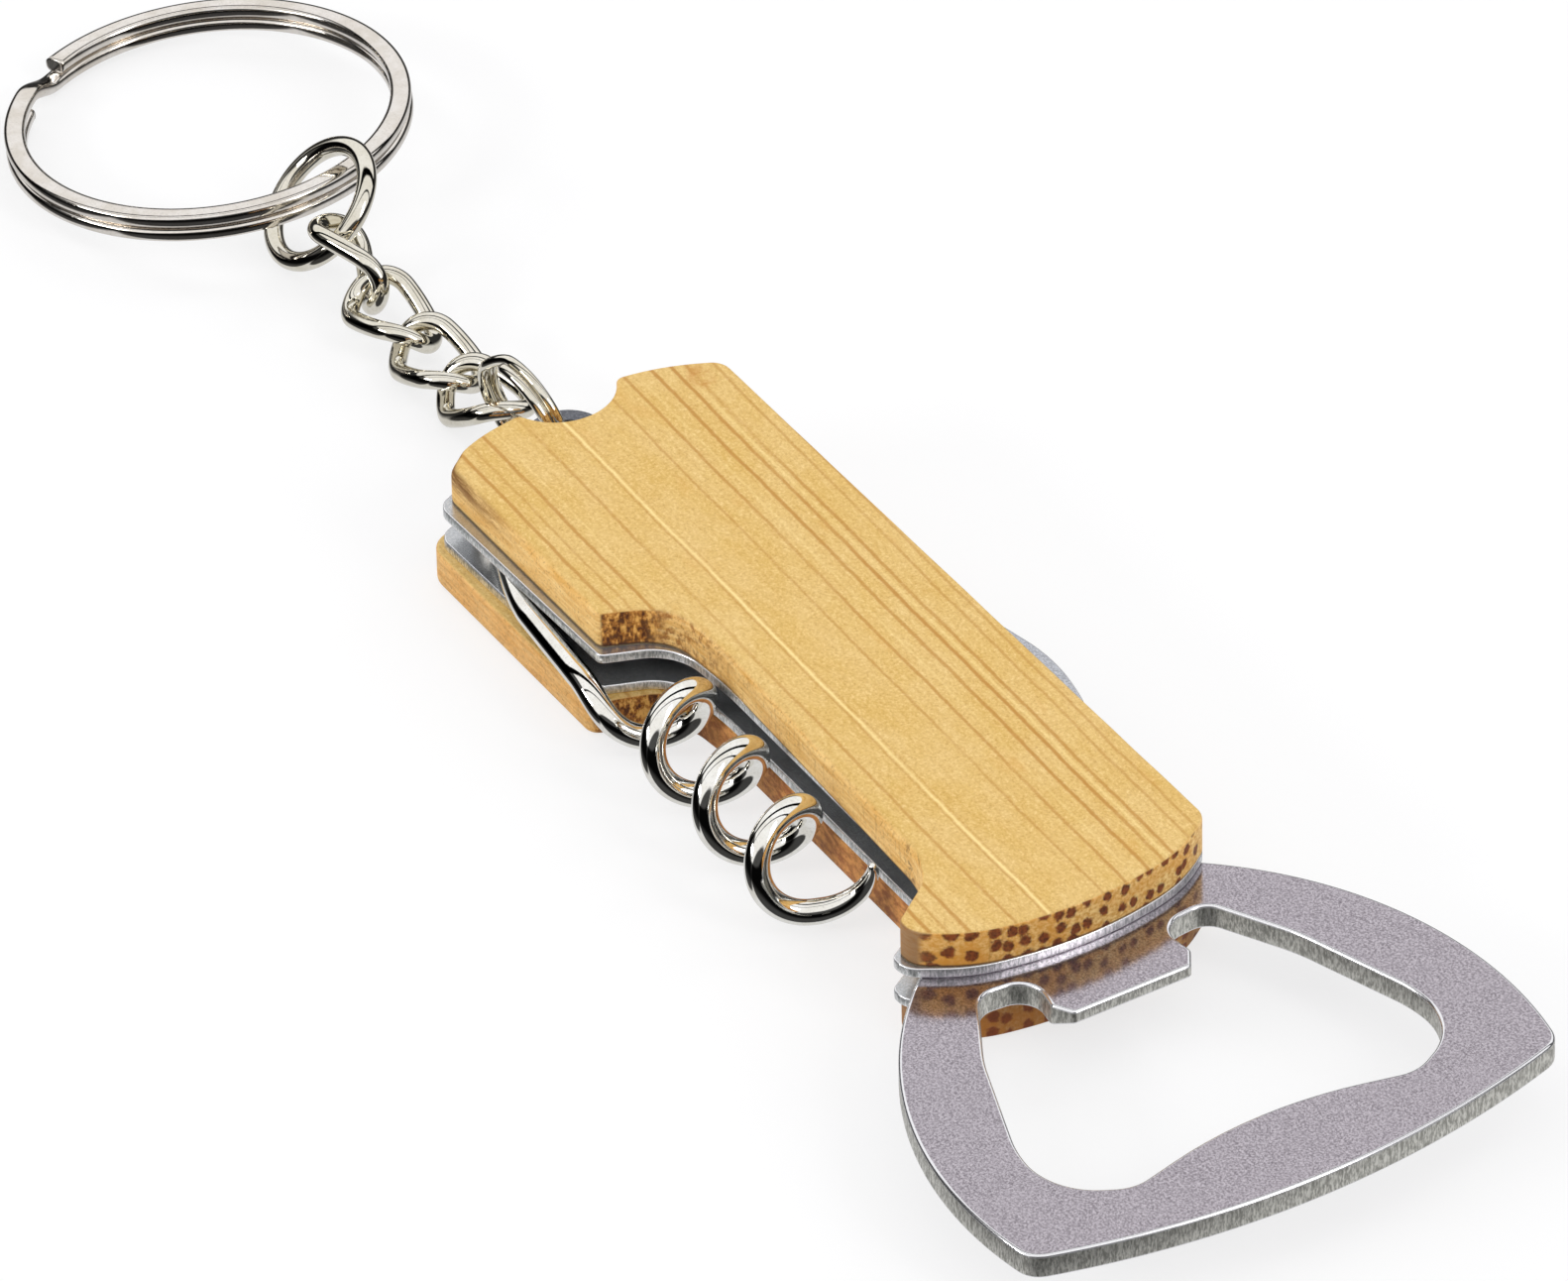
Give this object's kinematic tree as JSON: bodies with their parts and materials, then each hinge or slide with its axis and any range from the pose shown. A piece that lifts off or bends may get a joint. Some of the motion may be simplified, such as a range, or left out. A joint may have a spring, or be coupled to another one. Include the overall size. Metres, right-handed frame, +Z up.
{
  "type": "keychain bottle opener",
  "caption": "Bamboo-covered folding keychain tool with a bottle opener head, a corkscrew and a blade, on a curb chain with a split ring.",
  "frame": {"origin": "on the flat underside of the bottom cover, midway along the handle and on its centre line", "axes": "+X along the handle towards the opener head, +Y to the blade's side, +Z up, away from the surface it lies on"},
  "size_m": [0.1677, 0.045, 0.0099],
  "materials": {
    "bamboo": "satin",
    "liner_steel": "satin",
    "opener_steel": "satin",
    "blade_steel": "satin",
    "bright_nickel": "polished"
  },
  "bodies": {
    "handle": {"scale_top": "bamboo", "scale_bottom": "bamboo", "liner_top": "liner_steel", "liner_bottom": "liner_steel", "opener_plate": "opener_steel", "ring_tab": "liner_steel", "back_spring": "liner_steel", "blade_pivot_pin": "liner_steel", "corkscrew_pivot_pin": "liner_steel", "tab_rivet_pin": "liner_steel", "spring_rivet_pin": "liner_steel", "opener_rivet_pins": "liner_steel"},
    "blade": {"blade": "blade_steel"},
    "corkscrew": {"corkscrew": "bright_nickel"},
    "small_split_ring": {"small_split_ring": "bright_nickel"},
    "chain_link_1": {"chain_link_1": "bright_nickel"},
    "chain_link_2": {"chain_link_2": "bright_nickel"},
    "chain_link_3": {"chain_link_3": "bright_nickel"},
    "chain_link_4": {"chain_link_4": "bright_nickel"},
    "jump_ring": {"jump_ring": "bright_nickel"},
    "key_ring": {"key_ring": "bright_nickel"}
  },
  "joints": [
    {"name": "blade_hinge", "type": "hinge", "parent": "handle", "child": "blade", "pos_m": [-0.0246, 0.0072, 0.00485], "axis": [0, 0, 1], "range_deg": [0, 165]},
    {"name": "corkscrew_hinge", "type": "hinge", "parent": "handle", "child": "corkscrew", "pos_m": [-0.0262, -0.0082, 0.00485], "axis": [0, 0, -1], "range_deg": [0, 100]},
    {"name": "small_ring_swing", "type": "hinge", "parent": "handle", "child": "small_split_ring", "pos_m": [-0.03406, -0.00123, 0.00485], "axis": [-0.5446, 0.8387, 0], "range_deg": [-15, 40]},
    {"name": "link_1_swing", "type": "hinge", "parent": "small_split_ring", "child": "chain_link_1", "pos_m": [-0.04023, -0.00031, 0.00238], "axis": [0.6305, 0.2134, -0.7462], "range_deg": [-20, 30]},
    {"name": "link_2_swing", "type": "hinge", "parent": "chain_link_1", "child": "chain_link_2", "pos_m": [-0.0468, -0.00077, 0.00271], "axis": [0.1315, 0.632, 0.7637], "range_deg": [-20, 30]},
    {"name": "link_3_swing", "type": "hinge", "parent": "chain_link_2", "child": "chain_link_3", "pos_m": [-0.05302, -0.00066, 0.00278], "axis": [0.2409, 0.6699, 0.7023], "range_deg": [-20, 30]},
    {"name": "link_4_swing", "type": "hinge", "parent": "chain_link_3", "child": "chain_link_4", "pos_m": [-0.05866, 0.00036, 0.00379], "axis": [0.6679, 0.7352, 0.1154], "range_deg": [-9, 30]},
    {"name": "jump_ring_swing", "type": "hinge", "parent": "chain_link_4", "child": "jump_ring", "pos_m": [-0.06502, 0.00036, 0.00454], "axis": [0.2923, 0.8265, -0.4811], "range_deg": [-20, 30]},
    {"name": "key_ring_swing", "type": "hinge", "parent": "jump_ring", "child": "key_ring", "pos_m": [-0.07134, 0.00338, 0.00648], "axis": [0.7366, 0.4077, 0.5396], "range_deg": [-30, 6]}
  ]
}
